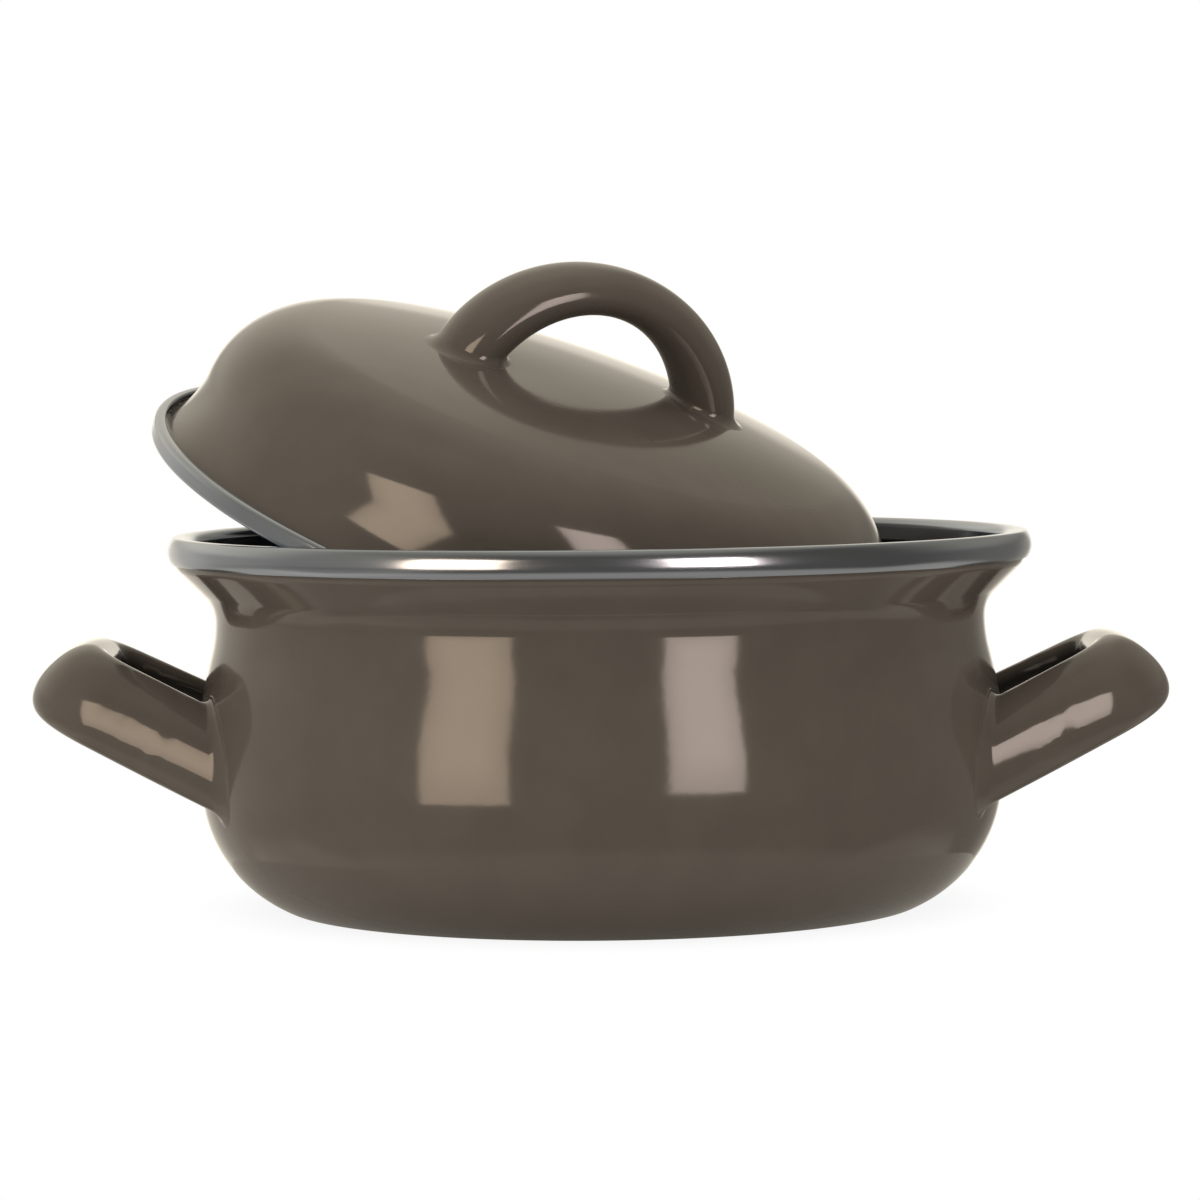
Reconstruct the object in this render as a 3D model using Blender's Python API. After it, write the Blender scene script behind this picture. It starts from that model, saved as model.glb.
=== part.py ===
"""Mini casserole dish: an enamelled steel pot with two loop handles, and a domed lid lying askew in its mouth.

Lengths are in millimetres and angles in degrees up to the point where a mesh is made, which is in metres.
The origin is the middle of the base, +X runs along the side handles and +Z is up.
The lid is modelled upright on its own axis, then set down tilted on the pot's rim.
"""
from math import asin, cos, degrees, radians, sin, sqrt, tan

import bmesh
import bpy
import numpy as np
from mathutils import Matrix, Vector

MM = 0.001

# Facets
TURNED_STEPS = 56
LEG_STATIONS = 6
BEND_STATIONS = 9
BAR_SIDES = 14
SHARP_ANGLE = 40.0
MERGE = 0.00001      # metres

# Fits
GAP = 0.3            # between pieces that touch: band on shell, handle on wall, lid on rim
SHEET = 1.2          # steel sheet with its enamel on both faces

# Rim band of the pot, a steel strip folded over the shell's edge
POT_HEIGHT = 55.87   # base to the top of the rim band
POT_BAND_RADIUS = 64.6
POT_BAND_HEIGHT = 4.0
POT_BAND_LEG = 0.75
POT_BAND_CROWN = 1.27
POT_BAND_ROUND = 1.4
LEG_ROUND_SHARE = 0.8       # rounded part of a leg's end, as a share of its thickness
POT_BAND_INNER_STEP = 0.2   # the inner leg stops this far above the turn of the lip

# Pot shell, measured on its outside, from the band's groove down to the base
LIP_STAND = 2.2      # upright edge that the band grips
LIP_RADIUS = 2.0     # where the flared mouth turns upright into the band
FLARE_ANGLE = 45.0   # slope of the mouth away from upright
FLARE_RUN = 2.04     # straight part of the slope, measured inwards
FLARE_RADIUS = 10.0  # hollow curve from the slope down to the neck, where the wall is upright

# Belly of the pot, from the neck down to the base, in proportions that are fitted to the height left
NECK_RADIUS = 20.0   # hollow curve under the neck, until the wall leans out
LEAN_ANGLE = 13.5
LEAN_RUN = 2.0
UPPER_BELLY_RADIUS = 52.5
LOWER_BELLY_RADIUS = 39.0
CORNER_START = 12.0  # how far the wall leans in where the corner begins
CORNER_RADIUS = 20.7
CORNER_END = 66.0
BASE_EDGE_RADIUS = 2.0
STANDING_RING = 7.3  # width of the flat that the pot stands on
PANEL_RAMP = 2.0     # slope up to the middle of the base, which is pressed in
PANEL_RISE = 0.6

# Rim band of the lid, folded over the flange; heights are from the band's middle plane
LID_PLAY = 2.05      # room all round between the closed lid and the pot's band
LID_BAND_WALL = 0.8
LID_BAND_LIP = 0.65  # thickness of the strip above and below the flange
LID_BAND_UPPER = 1.5
LID_BAND_LOWER = 3.0
LID_BAND_ROUND = 0.9

# Lid shell, from the band's groove up to the crown; its flank flares out like a bell
LID_LAND = 0.4       # flat flange outside the fillet
LID_FILLET = 1.2
LID_FLARE_LEAN = 37.0    # of the flank at the bottom of the flare
LID_FLANK_LEAN = 6.8     # at its steepest, between the flare and the shoulder
LID_FLARE_RADIUS = 17.0
LID_SHOULDER_RADIUS = 15.2
LID_CROWN_RADIUS = 200.0

# Lid handle, a round arch of oval bar; lengths along a bar are those of its centre line
LID_HANDLE_BEND_RADIUS = 20.95
LID_HANDLE_LEAN = 19.3           # of its feet, towards each other
LID_HANDLE_THICK = (7.3, 9.0)    # at the top, at the feet
LID_HANDLE_WIDTH = (12.8, 14.0)
LID_HANDLE_ASIDE = (0.8, 0.4)    # of the lid's axis

# Side handles, slanting loops of the same oval bar: straight arms that lean in, a round bend, a flat end
SIDE_HANDLE_ARM = 18.7
SIDE_HANDLE_LEAN = 12.0
SIDE_HANDLE_BEND_RADIUS = 9.5
SIDE_HANDLE_HALF_END = 6.9
SIDE_HANDLE_THICK = (7.4, 6.4)   # at the end, at the roots
SIDE_HANDLE_WIDTH = (13.2, 13.9)
SIDE_HANDLE_CURL = 1.85          # of the arms' edges, towards the inside of the loop
SIDE_HANDLE_POWER = 2.5          # of the oval at the end: 2 is an ellipse, more is squarer
SIDE_HANDLE_TWIST = (24.0, 10.0)  # how far up the outer face looks at the end, at the roots
SIDE_HANDLE_SLOPE = 25.0
SIDE_HANDLE_ROOT_HEIGHT = 23.56  # middle of the bar's ends
SIDE_HANDLE_SINK = 1.4           # how far the ends of the centre line lie inside the belly

# Both kinds of bar
WELD_FLARE = 0.9      # how far the enamel swells round a welded root
WELD_LENGTH = 1.6
ROOT_OVERRUN = 9.0    # bar drawn past its root, then trimmed to the wall

# How the lid lies: it leans towards LID_LEAN, and its middle is set back the other way
LID_TILT = 22.0
LID_LEAN = -30.0
LID_SET_BACK = 12.3
LID_TURN = 52.0       # handle's direction from the downhill line, about the lid's axis
SEAT_STEP = 0.5       # coming down until it touches, then halving the last step
SEAT_HALVINGS = 16
SEAT_TURNS = 360
SEAT_WINDOW = 12.0    # band points further than this from the rim's height cannot touch it
SECTION_PITCH = 0.1

# Finishes: colour, roughness, metallic
ENAMEL = ("enamel_taupe", (0.105, 0.083, 0.064), 0.12, 0.0)
STEEL = ("stainless_steel", (0.52, 0.53, 0.54), 0.22, 1.0)


def arc(centre, radius, start, end, count):
    """Points on a circle of the profile plane, from one angle to another."""
    angles = np.radians(np.linspace(start, end, count))
    return [(centre[0] + radius * cos(a), centre[1] + radius * sin(a)) for a in angles]


def pot_lip_outer():
    """Outer radius of the upright edge that stands in the band's groove."""
    return POT_BAND_RADIUS - POT_BAND_LEG - GAP


def pot_mouth():
    """Inner radius of the band's inner leg."""
    return pot_lip_outer() - SHEET - GAP - POT_BAND_LEG


def pot_edge_top():
    return POT_HEIGHT - POT_BAND_CROWN - GAP


def pot_neck():
    """Radius and height of the narrowest place, worked in and down from the lip."""
    slope = radians(FLARE_ANGLE)
    turned_in = (LIP_RADIUS + FLARE_RADIUS) * (1 - cos(slope)) + FLARE_RUN
    drop = (LIP_RADIUS + FLARE_RADIUS) * sin(slope) + FLARE_RUN / tan(slope)
    return pot_lip_outer() - turned_in, pot_edge_top() - LIP_STAND - drop


def belly_bends():
    """Bends of the wall below the neck: radius, first and last lean outwards of its face, points.

    A hollow bend has a negative radius. All are scaled so that together they come down to the base.
    """
    hollow = (-NECK_RADIUS, 0, LEAN_ANGLE, 3)
    swelling = ((UPPER_BELLY_RADIUS, LEAN_ANGLE, 0, 4), (LOWER_BELLY_RADIUS, 0, -CORNER_START, 3),
                (CORNER_RADIUS, -CORNER_START, -CORNER_END, 5), (BASE_EDGE_RADIUS, -CORNER_END, -90, 2))
    bends = (hollow,) + swelling
    drop = sum(radius * (sin(radians(start)) - sin(radians(end))) for radius, start, end, _ in bends)
    scale = pot_neck()[1] / (drop + LEAN_RUN * cos(radians(LEAN_ANGLE)))
    return [(radius * scale, start, end, count) for radius, start, end, count in bends], LEAN_RUN * scale


def belly_outline(offset):
    """Wall from the neck to the flat of the base, each bend starting where the last one ended."""
    bends, lean_run = belly_bends()
    place = pot_neck()
    points = []
    for radius, start, end, count in bends:
        first, last = radians(start), radians(end)
        centre = (place[0] - radius * cos(first), place[1] - radius * sin(first))
        points += arc(centre, radius + offset, start, end, count)[1:]
        place = (centre[0] + radius * cos(last), centre[1] + radius * sin(last))
        if radius < 0:
            place = (place[0] + lean_run * sin(last), place[1] - lean_run * cos(last))
            points.append((place[0] + offset * cos(last), place[1] + offset * sin(last)))
    return points


def pot_body_radius():
    """Widest radius of the belly."""
    return max(radius for radius, height in belly_outline(0.0))


def pot_outline(offset):
    """Outside of the pot shell from its edge down to the axis, moved outwards by an offset."""
    turn_centre = (pot_lip_outer() - LIP_RADIUS, pot_edge_top() - LIP_STAND)
    neck_radius, neck_height = pot_neck()
    flare_centre = (neck_radius + FLARE_RADIUS, neck_height)
    points = [(pot_lip_outer() + offset, pot_edge_top())]
    points += arc(turn_centre, LIP_RADIUS + offset, 0, -FLARE_ANGLE, 3)
    points += arc(flare_centre, FLARE_RADIUS - offset, 180 - FLARE_ANGLE, 180, 5)
    points += belly_outline(offset)
    ring_inner = belly_outline(0.0)[-1][0] - STANDING_RING
    points += [(ring_inner, -offset), (ring_inner - PANEL_RAMP, PANEL_RISE - offset)]
    points += [(0.0, PANEL_RISE - offset)]
    return points


def pot_band_section():
    """Folded rim band: over the top, down the outer leg, round the groove and up the inner leg."""
    outer = POT_BAND_RADIUS
    inner = pot_mouth()
    top = POT_HEIGHT
    bottom = top - POT_BAND_HEIGHT
    inner_bottom = pot_edge_top() - LIP_STAND + POT_BAND_INNER_STEP
    groove_top = top - POT_BAND_CROWN
    top_round = min(POT_BAND_ROUND, (outer - inner) / 2)
    leg_round = LEG_ROUND_SHARE * POT_BAND_LEG
    points = arc((outer - top_round, top - top_round), top_round, 90, 0, 4)
    points += arc((outer - leg_round, bottom + leg_round), leg_round, 0, -90, 3)
    points += [(outer - POT_BAND_LEG, bottom), (outer - POT_BAND_LEG, groove_top)]
    points += [(inner + POT_BAND_LEG, groove_top), (inner + POT_BAND_LEG, inner_bottom)]
    points += arc((inner + leg_round, inner_bottom + leg_round), leg_round, -90, -180, 3)
    points += arc((inner + top_round, top - top_round), top_round, 180, 90, 4)
    return points


def lid_band_radius():
    return pot_mouth() - LID_PLAY


def lid_flange_edge():
    return lid_band_radius() - LID_BAND_WALL - GAP


def lid_flange_top():
    return SHEET / 2


def lid_bends():
    """Centres of the lid's fillet, flare and shoulder, each set so that one runs smoothly into the next."""
    flare_lean = radians(LID_FLARE_LEAN)
    flank_lean = radians(LID_FLANK_LEAN)
    inwards = LID_FLARE_RADIUS - LID_FILLET
    across = LID_FLARE_RADIUS + LID_SHOULDER_RADIUS
    fillet = (lid_flange_edge() - LID_LAND, lid_flange_top() + LID_FILLET)
    flare = (fillet[0] + inwards * cos(flare_lean), fillet[1] + inwards * sin(flare_lean))
    shoulder = (flare[0] - across * cos(flank_lean), flare[1] - across * sin(flank_lean))
    return fillet, flare, shoulder


def lid_crown_sweep():
    """Angle at the crown's centre from the lid's axis out to where the shoulder begins."""
    shoulder = lid_bends()[2]
    return degrees(asin(shoulder[0] / (LID_CROWN_RADIUS - LID_SHOULDER_RADIUS)))


def lid_height():
    """Top of the crown above the band's middle plane."""
    shoulder = lid_bends()[2]
    crown_to_shoulder = LID_CROWN_RADIUS - LID_SHOULDER_RADIUS
    return shoulder[1] + LID_CROWN_RADIUS - crown_to_shoulder * cos(radians(lid_crown_sweep()))


def lid_outline(offset):
    """Outside of the lid from its crown down to the flange, moved outwards by an offset."""
    fillet, flare, shoulder = lid_bends()
    crown = (0.0, lid_height() - LID_CROWN_RADIUS)
    shoulder_start = 90 - lid_crown_sweep()
    flare_start = 180 + LID_FLANK_LEAN
    fillet_start = 180 + LID_FLARE_LEAN
    points = [(0.0, lid_height() + offset)]
    points += arc(crown, LID_CROWN_RADIUS + offset, 90, shoulder_start, 3)[1:]
    points += arc(shoulder, LID_SHOULDER_RADIUS + offset, shoulder_start, LID_FLANK_LEAN, 8)[1:]
    points += arc(flare, LID_FLARE_RADIUS - offset, flare_start, fillet_start, 4)[1:]
    points += arc(fillet, LID_FILLET - offset, fillet_start, 270, 4)[1:]
    points += [(lid_flange_edge(), lid_flange_top() + offset)]
    return points


def lid_band_section():
    """Folded rim band of the lid: a short lip above the flange, a longer one below it."""
    outer = lid_band_radius()
    groove_half = SHEET / 2 + GAP
    half = groove_half + LID_BAND_LIP
    groove = outer - LID_BAND_WALL
    upper = outer - LID_BAND_UPPER
    lower = outer - LID_BAND_LOWER
    edge_round = min(LID_BAND_ROUND, half)
    points = [(upper, half)]
    points += arc((outer - edge_round, half - edge_round), edge_round, 90, 0, 4)
    points += arc((outer - edge_round, edge_round - half), edge_round, 0, -90, 4)
    points += [(lower, -half), (lower, -groove_half)]
    points += [(groove, -groove_half), (groove, groove_half), (upper, groove_half)]
    return points


def lid_seat_height():
    """Lowest height of the lid's middle at which its band still clears the pot's band by the gap.

    Both bands are rings, so each point of the tilted ring is compared with the pot's section at its own
    radius. The lid comes down from above until it first touches, then the last step is halved.
    """
    section = np.array(lid_band_section())
    rim = densified(pot_band_section())
    turn = np.radians(np.linspace(0, 360, SEAT_TURNS, endpoint=False))
    tilt = radians(LID_TILT)
    radius, height = section[:, :1], section[:, 1:]
    downhill = radius * np.cos(turn) * cos(tilt) + height * sin(tilt) - LID_SET_BACK
    across = radius * np.sin(turn)
    level = height * cos(tilt) - radius * np.cos(turn) * sin(tilt)
    from_axis = np.hypot(downhill, across).ravel()

    def clearance(seat):
        rise = level.ravel() + seat
        near = np.abs(rise - POT_HEIGHT) < SEAT_WINDOW
        if not near.any():
            return SEAT_WINDOW
        return np.hypot(from_axis[near, None] - rim[:, 0], rise[near, None] - rim[:, 1]).min()

    high = POT_HEIGHT + lid_band_radius()
    while high > 0 and clearance(high - SEAT_STEP) > GAP:
        high -= SEAT_STEP
    low = high - SEAT_STEP
    for _ in range(SEAT_HALVINGS):
        middle = (low + high) / 2
        if clearance(middle) > GAP:
            high = middle
        else:
            low = middle
    return high


def densified(points):
    """Points of a closed section with more put in along its sides, about a pitch apart."""
    dense = []
    for (r0, z0), (r1, z1) in zip(points, points[1:] + points[:1]):
        count = max(1, round(sqrt((r1 - r0) ** 2 + (z1 - z0) ** 2) / SECTION_PITCH))
        steps = np.linspace(0, 1, count, endpoint=False)
        dense += [(r0 + s * (r1 - r0), z0 + s * (z1 - z0)) for s in steps]
    return np.array(dense)


def finish_material(finish):
    """Principled material of one finish, made once."""
    name, colour, roughness, metallic = finish
    if name in bpy.data.materials:
        return bpy.data.materials[name]
    material = bpy.data.materials.new(name)
    material.use_nodes = True
    shader = material.node_tree.nodes["Principled BSDF"]
    shader.inputs["Base Color"].default_value = (*colour, 1.0)
    shader.inputs["Roughness"].default_value = roughness
    shader.inputs["Metallic"].default_value = metallic
    return material


def add_object(name, mesh, finish=None, parent=None):
    piece = bpy.data.objects.new(name, mesh)
    bpy.context.scene.collection.objects.link(piece)
    piece.parent = parent
    if finish is None:
        piece.hide_render = True
        piece.display_type = "WIRE"
    elif not mesh.materials:
        mesh.materials.append(finish_material(finish))
    return piece


def turned(name, profile, finish=None, parent=None, closed=False):
    """Piece turned from a profile that runs top to bottom down its outer side."""
    count = len(profile)
    edges = [(i, i + 1) for i in range(count - 1)]
    if closed:
        edges.append((count - 1, 0))
    mesh = bpy.data.meshes.new(name)
    mesh.from_pydata([(r * MM, 0.0, z * MM) for r, z in profile], edges, [])
    piece = add_object(name, mesh, finish, parent)
    screw = piece.modifiers.new("turn", "SCREW")
    screw.steps = TURNED_STEPS
    screw.render_steps = TURNED_STEPS
    screw.use_merge_vertices = True
    screw.merge_threshold = MERGE
    screw.use_smooth_shade = True
    return piece


def half_span(bend_radius, lean, leg=0.0, top=0.0):
    """From the middle of a loop to the end of its centre line."""
    return top + bend_radius * cos(radians(lean)) + leg * sin(radians(lean))


def bar_line(bend_radius, lean, leg=0.0, top=0.0):
    """Centre line of half a loop: a straight leg that leans in, a round bend and half of a straight top.

    The leg runs on below the root, to be trimmed by what it stands on. Gives x, z, the angle of the
    direction out of the loop, and the share of the way from the root to the middle.
    """
    start = radians(lean)
    sweep = np.pi / 2 - start
    stops = [np.array([-ROOT_OVERRUN, -ROOT_OVERRUN / 3])]
    if leg:
        stops.append(np.linspace(0, leg, LEG_STATIONS)[:-1])
    stops.append(leg + bend_radius * np.linspace(0, sweep, BEND_STATIONS))
    if top:
        stops.append(stops[-1][-1:] + top)
    along = np.concatenate(stops)
    straight = np.minimum(along, leg)
    angle = start + ((along - leg) / bend_radius).clip(0, sweep)
    flat = (along - leg - bend_radius * sweep).clip(0)
    x = half_span(bend_radius, lean, leg, top) - straight * sin(start) - flat
    x = x - bend_radius * (cos(start) - np.cos(angle))
    z = straight * cos(start) + bend_radius * (np.sin(angle) - sin(start))
    return x, z, angle, (along / along[-1]).clip(0)


def bar_mesh(name, line, thick, width, power=2.0, twist=(0.0, 0.0), curl=0.0, sink=0.0):
    """Oval bar bent into a loop that is symmetrical about its middle.

    Thickness, width and twist go from their middle value to their root value, and the section, an ellipse at
    the roots, takes on its power. It swells a little at the welds, a sink above the ends of the centre line.
    The edges of the arms curl inwards, so that their outer side is rounder and their inner side flatter.
    """
    x, z, angle, share = line
    rest = slice(-2, None, -1)
    out_x = np.concatenate([np.cos(angle), -np.cos(angle)[rest]])
    out_z = np.concatenate([np.sin(angle), np.sin(angle)[rest]])
    x = np.concatenate([x, -x[rest]])
    z = np.concatenate([z, z[rest]])
    share = np.concatenate([share, share[rest]])
    middle = share * share * (3 - 2 * share)
    swell = 2 * WELD_FLARE * np.exp(-(z - sink).clip(0) / WELD_LENGTH)
    half_thick = (thick[1] + (thick[0] - thick[1]) * middle + swell) / 2
    half_width = (width[1] + (width[0] - width[1]) * middle + swell) / 2
    turn = np.radians(twist[1] + (twist[0] - twist[1]) * middle)
    edge_curl = curl * (1 - middle)
    bulge = 2 / (2 + (power - 2) * middle)
    around = np.linspace(0, 2 * np.pi, BAR_SIDES, endpoint=False)

    shape = bmesh.new()
    rings = []
    for i in range(len(x)):
        oval_out = np.sign(np.cos(around)) * np.abs(np.cos(around)) ** bulge[i]
        oval_across = np.sign(np.sin(around)) * np.abs(np.sin(around)) ** bulge[i]
        thickness = half_thick[i] * oval_out - edge_curl[i] * oval_across ** 2
        breadth = half_width[i] * oval_across
        out = thickness * cos(turn[i]) - breadth * sin(turn[i])
        across = thickness * sin(turn[i]) + breadth * cos(turn[i])
        ring = [shape.verts.new(Vector((x[i] + o * out_x[i], a, z[i] + o * out_z[i])) * MM)
                for o, a in zip(out, across)]
        rings.append(ring)
    for ring, following in zip(rings, rings[1:]):
        for k in range(BAR_SIDES):
            nxt = (k + 1) % BAR_SIDES
            shape.faces.new((ring[k], ring[nxt], following[nxt], following[k]))
    shape.faces.new(rings[0])
    shape.faces.new(rings[-1])
    bmesh.ops.recalc_face_normals(shape, faces=shape.faces)
    mesh = bpy.data.meshes.new(name)
    shape.to_mesh(mesh)
    shape.free()
    mesh.shade_smooth()
    mesh.set_sharp_from_angle(angle=radians(SHARP_ANGLE))
    return mesh


def trim(piece, cutter):
    """Cut a bar off where it meets the surface that carries it."""
    cut = piece.modifiers.new("trim", "BOOLEAN")
    cut.operation = "DIFFERENCE"
    cut.solver = "EXACT"
    cut.use_self = True
    cut.object = cutter


def build_pot():
    inside = pot_outline(-SHEET)[::-1]
    turned("pot_body", inside + pot_outline(0.0), ENAMEL)
    turned("pot_rim_band", pot_band_section(), STEEL, closed=True)


def build_side_handles():
    """Two loops that slant up from the wall, the left one the right one turned half round."""
    slope = radians(SIDE_HANDLE_SLOPE)
    loop = SIDE_HANDLE_BEND_RADIUS, SIDE_HANDLE_LEAN, SIDE_HANDLE_ARM, SIDE_HANDLE_HALF_END
    root_radius = sqrt(pot_body_radius() ** 2 - half_span(*loop) ** 2) - SIDE_HANDLE_SINK
    span = Vector((0, 1, 0))
    across = Vector((-sin(slope), 0, cos(slope)))
    reach = Vector((cos(slope), 0, sin(slope)))
    turn = Matrix((span, across, reach)).transposed().to_4x4()
    place = Matrix.Translation(Vector((root_radius, 0, SIDE_HANDLE_ROOT_HEIGHT)) * MM) @ turn
    wall = [(0.0, pot_edge_top())] + pot_outline(GAP)
    cutter = turned("pot_wall_cutter", wall)
    mesh = bar_mesh("side_handle", bar_line(*loop), SIDE_HANDLE_THICK, SIDE_HANDLE_WIDTH,
                    SIDE_HANDLE_POWER, SIDE_HANDLE_TWIST, SIDE_HANDLE_CURL, SIDE_HANDLE_SINK)
    for name, half_turn in (("right_handle", 0), ("left_handle", 180)):
        handle = add_object(name, mesh, ENAMEL)
        handle.matrix_world = Matrix.Rotation(radians(half_turn), 4, "Z") @ place
        trim(handle, cutter)


def build_lid():
    """Lid shell, band and handle, all carried by an empty at the place where the lid has come to rest."""
    rest = bpy.data.objects.new("lid_rest", None)
    bpy.context.scene.collection.objects.link(rest)
    back = Vector((-LID_SET_BACK * cos(radians(LID_LEAN)), -LID_SET_BACK * sin(radians(LID_LEAN)), 0))
    back.z = lid_seat_height()
    rest.matrix_world = (Matrix.Translation(back * MM)
                         @ Matrix.Rotation(radians(LID_LEAN), 4, "Z")
                         @ Matrix.Rotation(radians(LID_TILT), 4, "Y")
                         @ Matrix.Rotation(radians(LID_TURN), 4, "Z"))

    outside = lid_outline(0.0)
    inside = lid_outline(-SHEET)[::-1]
    turned("lid_shell", outside + inside, ENAMEL, rest)
    turned("lid_rim_band", lid_band_section(), STEEL, rest, closed=True)

    dome = lid_outline(GAP)
    cutter = turned("lid_dome_cutter", dome + [(0.0, lid_flange_top() + GAP)], parent=rest)
    arch = LID_HANDLE_BEND_RADIUS, LID_HANDLE_LEAN
    mesh = bar_mesh("lid_handle", bar_line(*arch), LID_HANDLE_THICK, LID_HANDLE_WIDTH)
    handle = add_object("lid_handle", mesh, ENAMEL, rest)
    sag = LID_CROWN_RADIUS - sqrt(LID_CROWN_RADIUS ** 2 - half_span(*arch) ** 2)
    handle.location = Vector((*LID_HANDLE_ASIDE, lid_height() - sag)) * MM
    trim(handle, cutter)


for old in list(bpy.data.objects):
    bpy.data.objects.remove(old)
build_pot()
build_side_handles()
build_lid()
bpy.context.view_layer.update()
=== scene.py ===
import math

import bmesh
import bpy
import numpy as np
from mathutils import Matrix, Vector


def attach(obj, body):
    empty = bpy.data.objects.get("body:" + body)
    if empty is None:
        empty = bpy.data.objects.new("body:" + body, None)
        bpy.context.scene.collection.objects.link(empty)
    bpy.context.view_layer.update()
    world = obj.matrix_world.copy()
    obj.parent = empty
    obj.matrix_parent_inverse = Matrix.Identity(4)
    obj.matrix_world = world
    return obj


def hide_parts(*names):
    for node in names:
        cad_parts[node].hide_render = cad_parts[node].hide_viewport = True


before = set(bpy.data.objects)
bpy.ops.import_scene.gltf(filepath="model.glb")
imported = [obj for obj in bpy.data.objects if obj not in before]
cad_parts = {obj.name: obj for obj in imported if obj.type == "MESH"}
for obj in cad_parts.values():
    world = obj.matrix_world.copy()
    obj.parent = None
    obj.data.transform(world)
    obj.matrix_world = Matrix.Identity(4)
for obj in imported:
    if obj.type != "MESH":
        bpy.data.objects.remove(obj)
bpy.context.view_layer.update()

# Pot shell. Drawn from steel sheet and fired with glossy enamel, taupe outside and black inside.
# The wall bellies between a round lower corner and a neck, then flares out to an upright lip.
# The base stands on a flat ring, and its middle is pressed up a little. Lengths are in millimetres.
MM = 0.001
COLUMNS = 256
SHEET = 1.2
LIP_OUTER = 63.55
LIP_TOP = 54.3
LIP_FOOT = 52.1
LIP_RADIUS = 2.0
FLARE_ANGLE = 45
FLARE_RUN = 5.262
FLARE_RADIUS = 5.5
NECK_RADIUS = 19.912
LEAN_ANGLE = 13.5
LEAN_RUN = 3.538
UPPER_BELLY_RADIUS = 52.27
LOWER_BELLY_RADIUS = 38.829
CORNER_START = 12
CORNER_RADIUS = 20.609
CORNER_END = 66
BASE_EDGE_RADIUS = 1.991
STANDING_RING = 7.3
PANEL_RAMP = 2.0
PANEL_RISE = 0.6
TAUPE = (0.100, 0.0805, 0.0625, 1)
TAUPE_SPREAD = 0.035
TAUPE_CLOUDS = 140
BLACK = (0.006, 0.006, 0.006, 1)
ENAMEL_ROUGHNESS = 0.05
HAZE_ROUGHNESS = 0.08
HAZE_CLOUDS = 60
FINE_PEEL_HEIGHT = 0.0044
FINE_PEEL_GRAINS = 700
BROAD_PEEL_HEIGHT = 0.0088
BROAD_PEEL_GRAINS = 130
ARM_WAVE_HEIGHT = 0.396
ARM_WAVE_GRAINS = 190
ARM_WAVE_ZONE = (61, 66, 74)


def bend(place, radius, start, end, count):
    """Arc of an outline, starting at place, by the lean a of its outward side in degrees.

    Its points are centre + radius (cos a, sin a). A hollow arc has a negative radius.
    """
    lean = np.radians(np.linspace(start, end, count))
    arc = radius * np.stack([np.cos(lean), np.sin(lean)], axis=1)
    return place - arc[0] + arc


def run(place, length, lean, count):
    """Straight stretch of an outline down from place, square to the lean of its outward side."""
    turn = math.radians(lean)
    step = np.linspace(0, length, count)[:, None]
    return place + step * np.array([math.sin(turn), -math.cos(turn)])


def sheet_outline(outer, thickness):
    """Closed half section of a pressed sheet, and its lining, which is 1 inside and 0 outside.

    It goes up the inside, over the edge and along the outside. The inside is the outside moved by
    the thickness against its outward side, which is the outline's direction turned by a quarter.
    An outline that runs upwards has a negative thickness. Both ends lie on the axis.
    """
    along = np.gradient(outer, axis=0)
    along /= np.linalg.norm(along, axis=1, keepdims=True)
    inner = outer - thickness * np.stack([-along[:, 1], along[:, 0]], axis=1)
    inner[-1, 0] = 0
    lining_and_shade = np.repeat([1.0, 0.0], len(outer))[:, None]
    return np.concatenate([inner[::-1], outer]), lining_and_shade


def turned(outline):
    """Grid of a turned surface: the outline point (r, z) becomes the ring (r cos t, r sin t, z)."""
    turn = np.linspace(0, 2 * np.pi, COLUMNS, endpoint=False)
    radius, height = outline[:, :1], outline[:, 1:]
    return np.stack([radius * np.cos(turn), radius * np.sin(turn), height + 0 * turn], axis=2)


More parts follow.
